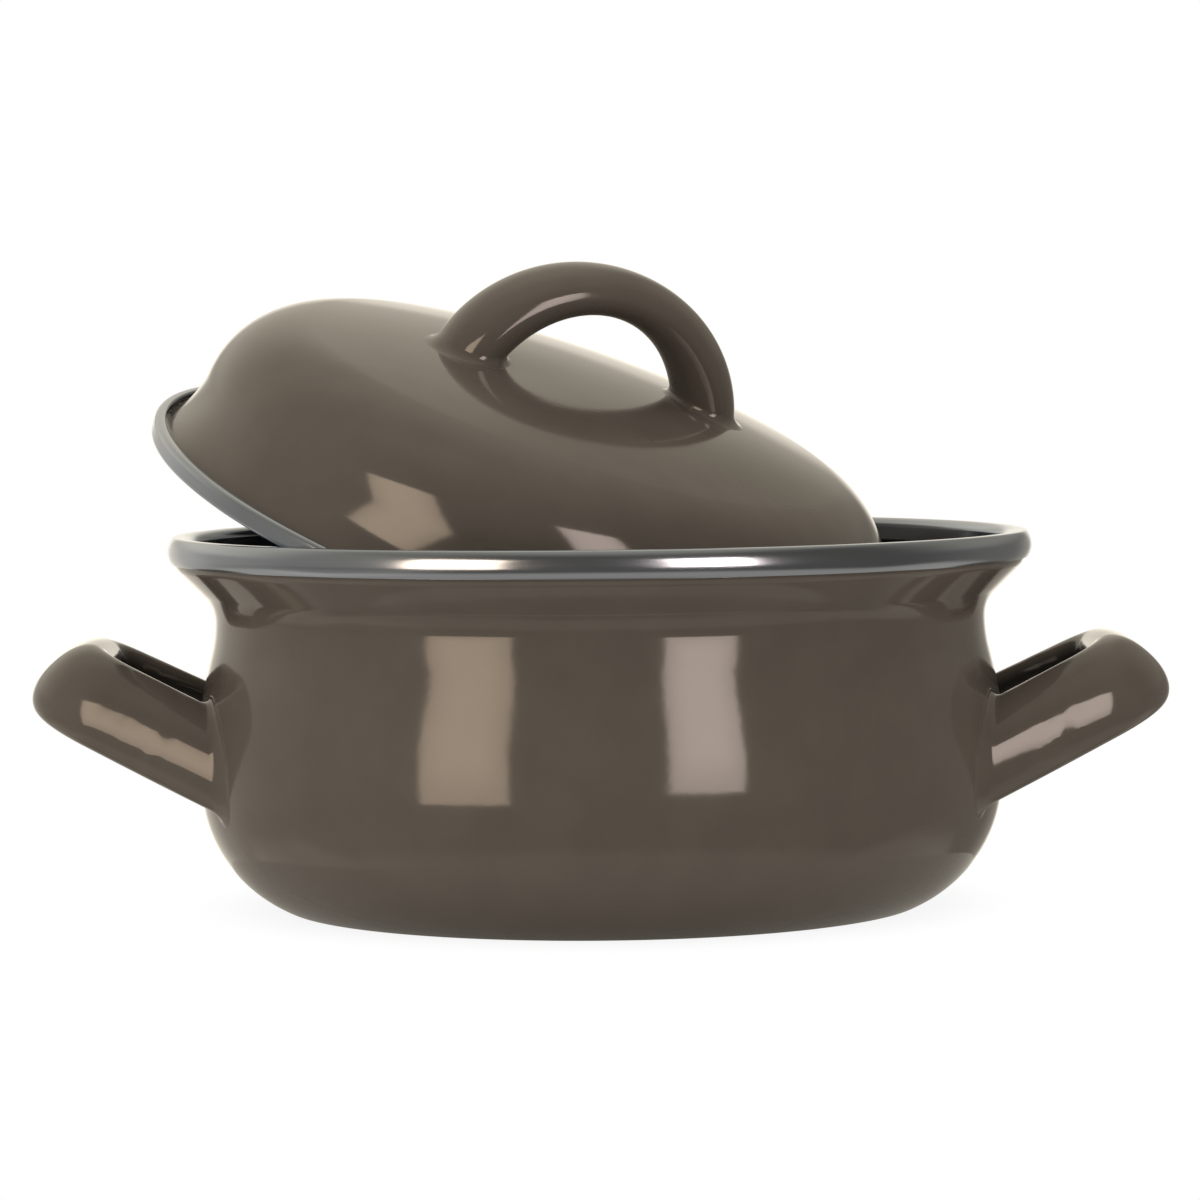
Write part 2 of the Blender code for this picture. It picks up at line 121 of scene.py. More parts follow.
def skin(name, grid, loop=False, lining_and_shade=None):
    """Piece whose surface is a grid of points in millimetres. The columns close on themselves.

    With loop the rows do so too. Otherwise the first and last rows are single points and become
    fans. The map "flow" counts turns along the columns and millimetres along the rows, and the
    optional mask is a value per row and column that the material reads: 1 is the black lining inside,
    and on the inner sides of the handle loops it is painted shade.
    """
    rows, columns = grid.shape[:2]
    here = np.arange(columns)
    there = (here + 1) % columns
    if loop:
        points = grid.reshape(-1, 3)
        index = np.arange(rows * columns).reshape(rows, columns)
        index = np.concatenate([index, index[:1]])
        fans = []
    else:
        points = np.concatenate([grid[0, :1], grid[1:-1].reshape(-1, 3), grid[-1, :1]])
        index = 1 + np.arange((rows - 2) * columns).reshape(rows - 2, columns)
        first = np.stack([0 * here, index[0, here], index[0, there]], axis=1)
        last = np.stack([0 * here + len(points) - 1, index[-1, there], index[-1, here]], axis=1)
        fans = first.tolist() + last.tolist()
    low, high = index[:-1], index[1:]
    faces = np.stack([low[:, here], high[:, here], high[:, there], low[:, there]], axis=2)
    mesh = bpy.data.meshes.new(name)
    mesh.from_pydata((points * MM).tolist(), [], faces.reshape(-1, 4).tolist() + fans)
    step = np.linalg.norm(np.diff(grid, axis=0, append=grid[:1]), axis=2).mean(axis=1)
    along = np.concatenate([[0], np.cumsum(step)])
    begin = 0 if loop else 1
    across = np.stack([here, here, here + 1, here + 1], axis=1) / columns
    u = np.broadcast_to(across, (len(low), columns, 4))
    down = np.stack([along[begin:begin + len(low)], along[begin + 1:begin + 1 + len(low)]], axis=1)
    v = np.broadcast_to(down[:, None, [0, 1, 1, 0]], (len(low), columns, 4))
    flow = np.zeros((len(mesh.loops), 2))
    flow[:u.size] = np.stack([u.ravel(), v.ravel()], axis=1)
    mesh.uv_layers.new(name="flow").data.foreach_set("uv", flow.ravel())
    if lining_and_shade is not None:
        lining_and_shade = np.broadcast_to(lining_and_shade, (rows, columns))
        values = np.concatenate([lining_and_shade[0, :1], lining_and_shade[1:-1].ravel(), lining_and_shade[-1, :1]])
        mesh.attributes.new("lining_and_shade", "FLOAT", "POINT").data.foreach_set("value", values)
    work = bmesh.new()
    work.from_mesh(mesh)
    if work.calc_volume(signed=True) < 0:
        mesh.flip_normals()
    work.free()
    mesh.shade_smooth()
    piece = bpy.data.objects.new(name, mesh)
    bpy.context.scene.collection.objects.link(piece)
    return piece


class Shade:
    """A shader value: one output socket that is added, multiplied and so on like a number."""

    def __init__(self, tree, socket):
        self.tree = tree
        self.socket = socket

    def node(self, kind, settings, inputs, output=0):
        """New node of this kind, its settings first, then its sockets by name, as values or links."""
        made = self.tree.nodes.new(kind)
        for key, value in settings.items():
            setattr(made, key, value)
        for key, value in inputs.items():
            if isinstance(value, Shade):
                self.tree.links.new(value.socket, made.inputs[key])
            else:
                made.inputs[key].default_value = value
        return Shade(self.tree, made.outputs[output])

    def beside(self, output):
        """Another output of the node that this value comes from."""
        return Shade(self.tree, self.socket.node.outputs[output])

    def math(self, operation, first, second=0.0):
        """Result of one operation of a Math node."""
        return self.node("ShaderNodeMath", {"operation": operation}, {0: first, 1: second})

    def __add__(self, other):
        return self.math("ADD", self, other)

    __radd__ = __add__

    def __mul__(self, other):
        return self.math("MULTIPLY", self, other)

    __rmul__ = __mul__

    def __sub__(self, other):
        return self.math("SUBTRACT", self, other)

    def __rsub__(self, other):
        return self.math("SUBTRACT", other, self)

    def noise(self, scale, detail=2.0):
        """Noise of about this many grains per unit, a metre in space, of the vector in this value."""
        inputs = {"Vector": self, "Scale": scale, "Detail": detail}
        return self.node("ShaderNodeTexNoise", {}, inputs)

    def mix(self, start, end):
        """Colour between two colours by this value."""
        inputs = {"Factor": self, "A": start, "B": end}
        return self.node("ShaderNodeMix", {"data_type": "RGBA"}, inputs, "Result")

    def ramp(self, low, high):
        """Smooth step of this value from 0 at low to 1 at high."""
        inputs = {"Value": self, "From Min": low, "From Max": high}
        return self.node("ShaderNodeMapRange", {"interpolation_type": "SMOOTHSTEP"}, inputs)

    def relief(self):
        """Direction of a surface that this value, in millimetres, raises."""
        inputs = {"Height": self, "Strength": 1.0, "Distance": MM}
        return self.node("ShaderNodeBump", {}, inputs, "Normal")


def new_material(name):
    """Principled material, its shader node, and a first value to build others from."""
    material = bpy.data.materials.new(name)
    material.use_nodes = True
    tree = material.node_tree
    shader = tree.nodes["Principled BSDF"]
    return material, shader, Shade(tree, None)


def feed(node, value, name):
    """Links a value to one of a node's sockets."""
    value.tree.links.new(value.socket, node.inputs[name])


def toned(colour, share):
    """Colour whose red, green and blue are multiplied by a share."""
    return [share * part for part in colour[:3]] + [1]


enamel, shader, start = new_material("enamel")
place = start.node("ShaderNodeTexCoord", {}, {}, "Object")
inside = start.node("ShaderNodeAttribute", {"attribute_name": "lining_and_shade"}, {}, "Fac")
depth = place.noise(TAUPE_CLOUDS, 3).ramp(0.3, 0.7)
taupe = depth.mix(toned(TAUPE, 1 - TAUPE_SPREAD), toned(TAUPE, 1 + TAUPE_SPREAD))
# Black is the real lining inside pot and lid, and painted shade on the inner sides of the handle loops.
feed(shader, inside.mix(taupe, BLACK), "Base Color")
feed(shader, ENAMEL_ROUGHNESS + HAZE_ROUGHNESS * place.noise(HAZE_CLOUDS), "Roughness")
peel = FINE_PEEL_HEIGHT * place.noise(FINE_PEEL_GRAINS, 1)
peel = peel + BROAD_PEEL_HEIGHT * place.noise(BROAD_PEEL_GRAINS, 1)
# On the arms of the side handles, near their roots, the coat has run and lies in shallow waves.
aside = place.node("ShaderNodeSeparateXYZ", {}, {"Vector": place}, "X")
zone_start, zone_middle, zone_end = [(MM * distance) ** 2 for distance in ARM_WAVE_ZONE]
arms = (aside * aside).ramp(zone_start, zone_middle) * (1 - (aside * aside).ramp(zone_middle, zone_end))
waves = ARM_WAVE_HEIGHT * arms * (place.noise(ARM_WAVE_GRAINS, 1) - 0.5)
feed(shader, (peel + waves).relief(), "Normal")

edge = np.array([LIP_OUTER, LIP_TOP])
wall = [run(edge, LIP_TOP - LIP_FOOT, 0, 4)]
wall.append(bend(wall[-1][-1], LIP_RADIUS, 0, -FLARE_ANGLE, 12))
wall.append(run(wall[-1][-1], FLARE_RUN, -FLARE_ANGLE, 4))
wall.append(bend(wall[-1][-1], -FLARE_RADIUS, -FLARE_ANGLE, 0, 24))
wall.append(bend(wall[-1][-1], -NECK_RADIUS, 0, LEAN_ANGLE, 16))
wall.append(run(wall[-1][-1], LEAN_RUN, LEAN_ANGLE, 4))
wall.append(bend(wall[-1][-1], UPPER_BELLY_RADIUS, LEAN_ANGLE, 0, 24))
wall.append(bend(wall[-1][-1], LOWER_BELLY_RADIUS, 0, -CORNER_START, 16))
wall.append(bend(wall[-1][-1], CORNER_RADIUS, -CORNER_START, -CORNER_END, 36))
wall.append(bend(wall[-1][-1], BASE_EDGE_RADIUS, -CORNER_END, -90, 10))
wall = np.concatenate([wall[0][:1]] + [part[1:] for part in wall])
foot = wall[-1]
ring = np.stack([np.linspace(foot[0], foot[0] - STANDING_RING, 8)[1:], np.full(7, foot[1])], axis=1)
share = np.linspace(0, 1, 11)[1:]
rise = PANEL_RISE * (1 - np.cos(np.pi * share)) / 2
ramp = np.stack([ring[-1, 0] - PANEL_RAMP * share, ring[-1, 1] + rise], axis=1)
panel = np.stack([ramp[-1, 0] * np.linspace(1, 0, 12)[1:], np.full(11, ramp[-1, 1])], axis=1)
outline, lining_and_shade = sheet_outline(np.concatenate([wall, ring, ramp, panel]), SHEET)
pot_shell = skin("pot_shell", turned(outline), lining_and_shade=lining_and_shade)
pot_shell.data.materials.append(enamel)
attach(pot_shell, "pot")
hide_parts("pot_body")

# Pot rim band. A strip of stainless steel folded over the pot's edge and rolled on all round.
# Rolling rounds the outer leg to a bead and leaves fine lines round the band.
POT_BAND_OUTER = 64.6
POT_BAND_INNER = 61.3
POT_BAND_TOP = 55.87
POT_BAND_BOTTOM = 51.87
POT_BAND_INNER_BOTTOM = 52.3
POT_BAND_LEG = 0.75
POT_GROOVE_TOP = 54.6
POT_BAND_ROUND = 1.4
BEAD_RADIUS = 3.15
BEAD_MIDDLE = 53.65
LEG_ROUND = 0.36
GROOVE_ROUND = 0.12
ROUND_POINTS = 9
SIDE_POINTS = 13
SIDE_MARGIN = 0.03
STAINLESS = (0.485, 0.527, 0.60, 1)
FRESH_TONE = 0.97
STEEL_ROUGHNESS = 0.13
LINE_ROUGHNESS = 0.05
WEAR_ROUGHNESS = 0.04
LINE_HEIGHT = 0.003
LINE_GRAINS = (1.6, 9)
WEAR_GRAINS = (3, 0.3)


def folded(corners, rounds):
    """Closed outline through corners, each rounded by its own radius.

    The arc of a corner swings between its two points of contact by spherical interpolation, and
    a few more points go on every straight side so that flat faces shade flat.
    """
    corner = np.array(corners, float)
    before = np.roll(corner, 1, axis=0) - corner
    after = np.roll(corner, -1, axis=0) - corner
    before /= np.linalg.norm(before, axis=1, keepdims=True)
    after /= np.linalg.norm(after, axis=1, keepdims=True)
    half = np.arccos(np.clip((before * after).sum(axis=1), -1, 1)) / 2
    reach = np.array(rounds, float) / np.tan(half)
    middle = before + after
    middle /= np.linalg.norm(middle, axis=1, keepdims=True)
    centre = corner + middle * (np.array(rounds, float) / np.sin(half))[:, None]
    first = corner + before * reach[:, None] - centre
    last = corner + after * reach[:, None] - centre
    swing = (np.pi - 2 * half)[:, None, None]
    share = np.linspace(0, 1, ROUND_POINTS)[None, :, None]
    arc = np.sin((1 - share) * swing) * first[:, None] + np.sin(share * swing) * last[:, None]
    arc = centre[:, None] + arc / np.sin(swing)
    side = np.linspace(SIDE_MARGIN, 1 - SIDE_MARGIN, SIDE_POINTS)[None, :, None]
    flat = arc[:, -1:] * (1 - side) + np.roll(arc[:, :1], -1, axis=0) * side
    return np.concatenate([arc, flat], axis=1).reshape(-1, 2)


steel, shader, start = new_material("stainless_steel")
flow = start.node("ShaderNodeUVMap", {"uv_map": "flow"}, {})
turns = flow.node("ShaderNodeSeparateXYZ", {}, {"Vector": flow})
down = turns.beside("Y")
turn = turns * (2 * math.pi)
round_x = turn.math("COSINE", turn)
round_y = turn.math("SINE", turn)


def round_band(grains):
    """Noise that closes on itself: grains per radius round the band, and per millimetre down it."""
    ring, drop = grains
    inputs = {"X": round_x * ring, "Y": round_y * ring, "Z": down * drop}
    return turn.node("ShaderNodeCombineXYZ", {}, inputs).noise(1.0, 3)


grain = round_band(LINE_GRAINS)
wear = round_band(WEAR_GRAINS).ramp(0.35, 0.75)
feed(shader, wear.mix(toned(STAINLESS, FRESH_TONE), STAINLESS), "Base Color")
feed(shader, STEEL_ROUGHNESS + LINE_ROUGHNESS * grain + WEAR_ROUGHNESS * wear, "Roughness")
feed(shader, (LINE_HEIGHT * grain).relief(), "Normal")
shader.inputs["Metallic"].default_value = 1

groove_outer = POT_BAND_OUTER - POT_BAND_LEG
groove_inner = POT_BAND_INNER + POT_BAND_LEG
corners = [
    (POT_BAND_INNER, POT_BAND_TOP),
    (POT_BAND_OUTER, POT_BAND_TOP),
    (POT_BAND_OUTER, POT_BAND_BOTTOM),
    (groove_outer, POT_BAND_BOTTOM),
    (groove_outer, POT_GROOVE_TOP),
    (groove_inner, POT_GROOVE_TOP),
    (groove_inner, POT_BAND_INNER_BOTTOM),
    (POT_BAND_INNER, POT_BAND_INNER_BOTTOM),
]
rounds = [POT_BAND_ROUND] * 2 + [LEG_ROUND] + [GROOVE_ROUND] * 4 + [LEG_ROUND]
section = folded(corners, rounds)
bead = POT_BAND_OUTER - BEAD_RADIUS + np.sqrt(BEAD_RADIUS ** 2 - (section[:, 1] - BEAD_MIDDLE) ** 2)
section[:, 0] = np.minimum(section[:, 0], bead)
pot_band = skin("pot_rim_band_skin", turned(section), loop=True)
pot_band.data.materials.append(steel)
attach(pot_band, "pot")
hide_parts("pot_rim_band")

# Side handles. Flat oval bars bent into loops, welded to the belly and slanting upwards. The enamel
# runs round each root in a small hollow fillet. The inner side of each loop is painted black as
# painted shade, where the loop is in shadow. The left loop is the right one turned half round.
BAR_SIDES = 80
BAR_STATIONS = 200
BAR_OVERRUN = 9.0
BAR_TRIALS = 4001
ROOT_SINK = 0.05
HANDLE_ARM = 19.95
HANDLE_LEAN = math.radians(16)
HANDLE_BEND_RADIUS = 9.5
HANDLE_HALF_END = 6.9
HANDLE_THICK = (8.2, 6.4)
HANDLE_WIDTH = (13.8, 13.9)
HANDLE_POWER = 2.25
HANDLE_CURL = 1.85
HANDLE_TWIST = (math.radians(24), math.radians(20))
HANDLE_SLOPE = math.radians(25)
HANDLE_HEIGHT = 23.56
HANDLE_SET_IN = 1.4
HANDLE_FILLET = 1.6
BELLY_TOP = 40
# Painted shade: the inner side of each loop is painted black, over the part of the section these set.
INNER_SIDE = (-0.2, -0.6)
INNER_SHADE = 0.9


def bar(along, angle, radius, lean, leg, end, thick, width, power, twist, curl):
    """Point of an oval bar bent into a loop, and the direction out of the bar there.

    The middle line is a straight leg that leans in, a round bend and a straight end, then the same
    back again. The section is the oval (t cos q - k sin^2 q, w sin q), its half thickness t in the
    plane of the loop, its half width w across it, its edges curled inwards by k. Thickness, width
    and twist are given at the middle and at the root, with a smooth step between them. From root to
    middle the curl fades, and cosine and sine come to be raised to 2 / power to square the oval.
    """
    sweep = np.pi / 2 - lean
    half = leg + radius * sweep + end
    span = leg * np.sin(lean) + radius * np.cos(lean) + end
    side = np.where(along < half, 1, -1)
    here = half - np.abs(along - half)
    straight = np.minimum(here, leg)
    turn = lean + np.clip((here - leg) / radius, 0, sweep)
    flat = np.clip(here - leg - radius * sweep, 0, None)
    x = side * (span - straight * np.sin(lean) - flat - radius * (np.cos(lean) - np.cos(turn)))
    z = straight * np.cos(lean) + radius * (np.sin(turn) - np.sin(lean))
    share = np.clip(here / half, 0, 1)
    share = share * share * (3 - 2 * share)
    half_thick = (thick[1] + (thick[0] - thick[1]) * share) / 2
    half_wide = (width[1] + (width[0] - width[1]) * share) / 2
    twisted = twist[1] + (twist[0] - twist[1]) * share
    curled = curl * (1 - share)
    bulge = 2 / (2 + (power - 2) * share)
    cosine, sine = np.cos(angle), np.sin(angle)
    across = np.sign(sine) * np.abs(sine) ** bulge
    outwards = half_thick * np.sign(cosine) * np.abs(cosine) ** bulge - curled * across ** 2
    across = half_wide * across
    face_outwards = half_wide * cosine
    face_across = half_thick * sine + 2 * curled * sine * cosine
    c, s = np.cos(twisted), np.sin(twisted)
    outwards, across = outwards * c - across * s, outwards * s + across * c
    face_outwards, face_across = face_outwards * c - face_across * s, face_outwards * s + face_across * c
    size = np.hypot(face_outwards, face_across)[:, :, None]
    out_x, out_z = side * np.cos(turn), np.sin(turn)
    point = np.stack([x + out_x * outwards, across, z + out_z * outwards], axis=2)
    return point, np.stack([out_x * face_outwards, face_across, out_z * face_outwards], axis=2) / size


def rooted_bar(name, sizes, placement, surface, fillet, inner_shade=0):
    """Bar whose two ends lie on a surface, with a hollow fillet of enamel round each root.

    Every line along the bar starts and ends where it dips just under the surface. Closer to the
    surface than the fillet f, at the distance d, points move along it by f - sqrt(f^2 - (f - d)^2).
    The inner shade is the mask's value on the inner side of the bar: painted shade, drawn as black.
    """
    angle = np.linspace(0, 2 * np.pi, BAR_SIDES, endpoint=False)[None, :]
    length = 2 * (sizes["leg"] + sizes["radius"] * (np.pi / 2 - sizes["lean"]) + sizes["end"])
    along = np.linspace(-BAR_OVERRUN, length + BAR_OVERRUN, BAR_TRIALS)[:, None] + 0 * angle
    turn, shift = placement
    point, _ = bar(along, angle, **sizes)
    clear = surface(point @ turn.T + shift)[0] > -ROOT_SINK
    first = np.take_along_axis(along, clear.argmax(axis=0)[None, :], axis=0)
    last = np.take_along_axis(along[::-1], clear[::-1].argmax(axis=0)[None, :], axis=0)
    share = (1 - np.cos(np.linspace(0, np.pi, BAR_STATIONS)))[:, None] / 2
    point, out = bar(first + (last - first) * share, angle, **sizes)
    point, out = point @ turn.T + shift, out @ turn.T
    distance, normal = surface(point)
    near = 1 - np.clip(distance / fillet, 0, 1)
    aside = out - (out * normal).sum(axis=2, keepdims=True) * normal
    aside /= np.linalg.norm(aside, axis=2, keepdims=True)
    point = point + aside * (fillet * (1 - np.sqrt(1 - near ** 2)))[:, :, None]
    ends = point[[0, -1]].mean(axis=1, keepdims=True) + np.zeros((2, BAR_SIDES, 3))
    # Painted shade: the inner side of the bar is marked to turn black, as shade inside the loop.
    shade_start, shade_full = INNER_SIDE
    lining_and_shade = inner_shade * np.clip((np.cos(angle) - shade_start) / (shade_full - shade_start), 0, 1)
    return skin(name, np.concatenate([ends[:1], point, ends[1:]]), lining_and_shade=lining_and_shade)


def on_wall(point):
    """Distance of points from the pot's wall, along its outward direction, and that direction."""
    upwards = wall[::-1]
    lean = np.arctan2(np.gradient(wall[:, 0])[::-1], -np.gradient(wall[:, 1])[::-1])
    lean = np.interp(point[..., 2], upwards[:, 1], lean)
    radius = np.hypot(point[..., 0], point[..., 1])
    distance = (radius - np.interp(point[..., 2], upwards[:, 1], upwards[:, 0])) * np.cos(lean)
    flat = np.cos(lean) / radius
    return distance, np.stack([point[..., 0] * flat, point[..., 1] * flat, np.sin(lean)], axis=2)


handle_sizes = {
    "radius": HANDLE_BEND_RADIUS,
    "lean": HANDLE_LEAN,
    "leg": HANDLE_ARM,
    "end": HANDLE_HALF_END,
    "thick": HANDLE_THICK,
    "width": HANDLE_WIDTH,
    "power": HANDLE_POWER,
    "twist": HANDLE_TWIST,
    "curl": HANDLE_CURL,
}
span = HANDLE_ARM * math.sin(HANDLE_LEAN) + HANDLE_BEND_RADIUS * math.cos(HANDLE_LEAN) + HANDLE_HALF_END
belly = wall[:, 0][wall[:, 1] < BELLY_TOP].max()
root = math.sqrt(belly ** 2 - span ** 2) - HANDLE_SET_IN
cosine, sine = math.cos(HANDLE_SLOPE), math.sin(HANDLE_SLOPE)
slant = np.array([[0, -sine, cosine], [1, 0, 0], [0, cosine, sine]])
for name, way in (("right_handle", 1), ("left_handle", -1)):
    half_round = np.diag([way, way, 1])
    placement = half_round @ slant, np.array([way * root, 0, HANDLE_HEIGHT])
    handle = rooted_bar(name + "_skin", handle_sizes, placement, on_wall, HANDLE_FILLET, INNER_SHADE)
    handle.data.materials.append(enamel)
    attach(handle, "pot")
    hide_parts(name)

# Lid shell. Pressed from the same sheet like a bell: a flange, a flank that flares out, a round
# shoulder and a low crown. It is enamelled like the pot, taupe outside and black underneath.
# It lies tilted in the mouth, so it is made level and then turned into its place.
LID_FLANGE_OUTER = 58.15
LID_FLANGE_TOP = 0.6
LID_LAND = 0.4
LID_FILLET = 1.2
LID_FLARE_LEAN = 37
LID_FLANK_LEAN = 6.8
LID_FLARE_RADIUS = 17
LID_SHOULDER_RADIUS = 15.2
LID_CROWN_RADIUS = 200
LID_SEAT = (-10.652, 6.15, 54.84)
LID_TILT = 22
LID_LEAN = -30
LID_TURN = 52


def turn_about(axis, degrees):
    """Matrix of a turn about one of the axes."""
    return np.array(Matrix.Rotation(math.radians(degrees), 3, axis))


lid_turn = turn_about("Z", LID_LEAN) @ turn_about("Y", LID_TILT) @ turn_about("Z", LID_TURN)
lid_shift = np.array(LID_SEAT)
land = np.array([[LID_FLANGE_OUTER, LID_FLANGE_TOP], [LID_FLANGE_OUTER - LID_LAND, LID_FLANGE_TOP]])
dome = [land, bend(land[-1], -LID_FILLET, 90, LID_FLARE_LEAN, 12)]
dome.append(bend(dome[-1][-1], -LID_FLARE_RADIUS, LID_FLARE_LEAN, LID_FLANK_LEAN, 24))
shoulder = dome[-1][-1, 0] - LID_SHOULDER_RADIUS * math.cos(math.radians(LID_FLANK_LEAN))
crown_lean = math.degrees(math.acos(shoulder / (LID_CROWN_RADIUS - LID_SHOULDER_RADIUS)))
dome.append(bend(dome[-1][-1], LID_SHOULDER_RADIUS, LID_FLANK_LEAN, crown_lean, 48))
dome.append(bend(dome[-1][-1], LID_CROWN_RADIUS, crown_lean, 90, 40))
dome = np.concatenate([dome[0][:1]] + [part[1:] for part in dome])
dome[-1, 0] = 0
outline, lining_and_shade = sheet_outline(dome, -SHEET)
lid_shell = skin("lid_shell_skin", turned(outline) @ lid_turn.T + lid_shift, lining_and_shade=lining_and_shade)
lid_shell.data.materials.append(enamel)
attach(lid_shell, "lid")
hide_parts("lid_shell")

# Lid rim band. The same stainless strip, folded over the lid's flange: a flat outer face, a short
# lip on top and a longer one below, with eased corners.
LID_BAND_OUTER = 59.25
LID_BAND_HALF = 1.55
LID_GROOVE_RADIUS = 58.45
LID_GROOVE_HALF = 0.9
LID_BAND_UPPER_LIP = 57.75
LID_BAND_LOWER_LIP = 56.25
LID_BAND_ROUND = 0.9
LIP_ROUND = 0.28
corners = [
    (LID_BAND_UPPER_LIP, LID_BAND_HALF),
    (LID_BAND_OUTER, LID_BAND_HALF),
    (LID_BAND_OUTER, -LID_BAND_HALF),
    (LID_BAND_LOWER_LIP, -LID_BAND_HALF),
    (LID_BAND_LOWER_LIP, -LID_GROOVE_HALF),
    (LID_GROOVE_RADIUS, -LID_GROOVE_HALF),
    (LID_GROOVE_RADIUS, LID_GROOVE_HALF),
    (LID_BAND_UPPER_LIP, LID_GROOVE_HALF),
]
rounds = [LIP_ROUND] + [LID_BAND_ROUND] * 2 + [LIP_ROUND] * 2 + [GROOVE_ROUND] * 2 + [LIP_ROUND]
section = folded(corners, rounds)
lid_band = skin("lid_rim_band_skin", turned(section) @ lid_turn.T + lid_shift, loop=True)
lid_band.data.materials.append(steel)
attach(lid_band, "lid")
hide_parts("lid_rim_band")

# Lid handle. An arch of plain oval bar without straight legs, welded across the crown of the lid.
# It is enamelled with the lid, so the coat runs round its two feet as well.
LID_HANDLE_BEND_RADIUS = 20.95
LID_HANDLE_LEAN = math.radians(19.3)
LID_HANDLE_THICK = (7.3, 9.0)
LID_HANDLE_WIDTH = (12.8, 14.0)
LID_HANDLE_ASIDE = (0.8, 0.4)
LID_HANDLE_FILLET = 1.4
crown_centre = lid_turn @ np.array([0, 0, dome[-1, 1] - LID_CROWN_RADIUS]) + lid_shift


def on_crown(point):
    """Distance of points from the lid's crown, a part of a ball, and the direction away from it."""
    away = point - crown_centre
    size = np.linalg.norm(away, axis=2)
    return size - LID_CROWN_RADIUS, away / size[:, :, None]


lid_handle_sizes = {
    "radius": LID_HANDLE_BEND_RADIUS,
    "lean": LID_HANDLE_LEAN,
    "leg": 0,
    "end": 0,
    "thick": LID_HANDLE_THICK,
    "width": LID_HANDLE_WIDTH,
    "power": 2,
    "twist": (0, 0),
    "curl": 0,
}
span = LID_HANDLE_BEND_RADIUS * math.cos(LID_HANDLE_LEAN)
sag = LID_CROWN_RADIUS - math.sqrt(LID_CROWN_RADIUS ** 2 - span ** 2)
placement = lid_turn, lid_turn @ np.array([*LID_HANDLE_ASIDE, dome[-1, 1] - sag]) + lid_shift
lid_handle = rooted_bar("lid_handle_skin", lid_handle_sizes, placement, on_crown, LID_HANDLE_FILLET)
lid_handle.data.materials.append(enamel)
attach(lid_handle, "lid")
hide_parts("lid_handle")

# Floor. A round pale table top under the pot. The camera sees it white, with a trace of the pot's
# shadow that fades towards the edge. The enamel mirrors it in a middle tone, paler behind the pot.
FLOOR_RADIUS = 66
FLOOR_RINGS = 40
FLOOR_DROP = 0.06
FLOOR_THICKNESS = 4
TABLE_COLOUR = (0.8, 0.77, 0.72, 1)
TABLE_ROUGHNESS = 0.6
TABLE_SHEEN = 0.1
WHITE = (1, 1, 1, 1)
FRONT_TONE = (0.38, 0.353, 0.304, 1)
REAR_TONE = (0.8, 0.744, 0.64, 1)
REAR_ZONE = (-20, 40)
MIRRORED_SHARE = 0.8
SHADOW_SHARE = 0.1
SHADOW_FADE = (46, 64)


def ray_kinds(value):
    """Whether a ray comes from the camera, straight or through glass, and whether it is mirrored."""
    camera_ray = value.node("ShaderNodeLightPath", {}, {}, "Is Camera Ray")
    mirrored = camera_ray.beside("Is Glossy Ray")
    through = camera_ray.beside("Is Transmission Ray")
    return camera_ray + (1 - camera_ray) * through * (1 - mirrored), mirrored


table, shader, start = new_material("table")
shader.inputs["Base Color"].default_value = TABLE_COLOUR
shader.inputs["Roughness"].default_value = TABLE_ROUGHNESS
shader.inputs["Specular IOR Level"].default_value = TABLE_SHEEN
spot = start.node("ShaderNodeTexCoord", {}, {}, "Object")
reach = spot.node("ShaderNodeVectorMath", {"operation": "LENGTH"}, {0: spot}, "Value")
behind = spot.node("ShaderNodeSeparateXYZ", {}, {"Vector": spot}, "Y")
rear = behind.ramp(REAR_ZONE[0] * MM, REAR_ZONE[1] * MM)
seen, mirrored = ray_kinds(spot)
tone = mirrored.mix(WHITE, rear.mix(FRONT_TONE, REAR_TONE))
even = spot.node("ShaderNodeEmission", {}, {"Color": tone, "Strength": 1.0})
lit = Shade(spot.tree, shader.outputs[0])
fade = 1 - SHADOW_SHARE + SHADOW_SHARE * reach.ramp(SHADOW_FADE[0] * MM, SHADOW_FADE[1] * MM)
factor = seen * fade + mirrored * MIRRORED_SHARE
blend = spot.node("ShaderNodeMixShader", {}, {0: factor, 1: lit, 2: even})
feed(table.node_tree.nodes["Material Output"], blend, "Surface")
rings = np.linspace(0, FLOOR_RADIUS, FLOOR_RINGS)
top = np.stack([rings, np.full_like(rings, -FLOOR_DROP)], axis=1)
under = np.stack([rings[::-1], np.full_like(rings, -FLOOR_DROP - FLOOR_THICKNESS)], axis=1)
floor = skin("floor", turned(np.concatenate([top, under])))
floor.data.materials.append(table)

# Light. Two upright soft boxes stand in front, a warm one on the left and a brighter one on the
# right, each with a hot middle and soft seams. An even tent of light fills in. What is mirrored is a
# plain studio: white paper straight behind, dimmer paper round it, a table and a dark room.
BOX_DISTANCE = 900
BOX_SEAM = 0.08
BOX_MARGIN = 0.35
BOX_MARGIN_LEVEL = 0.75
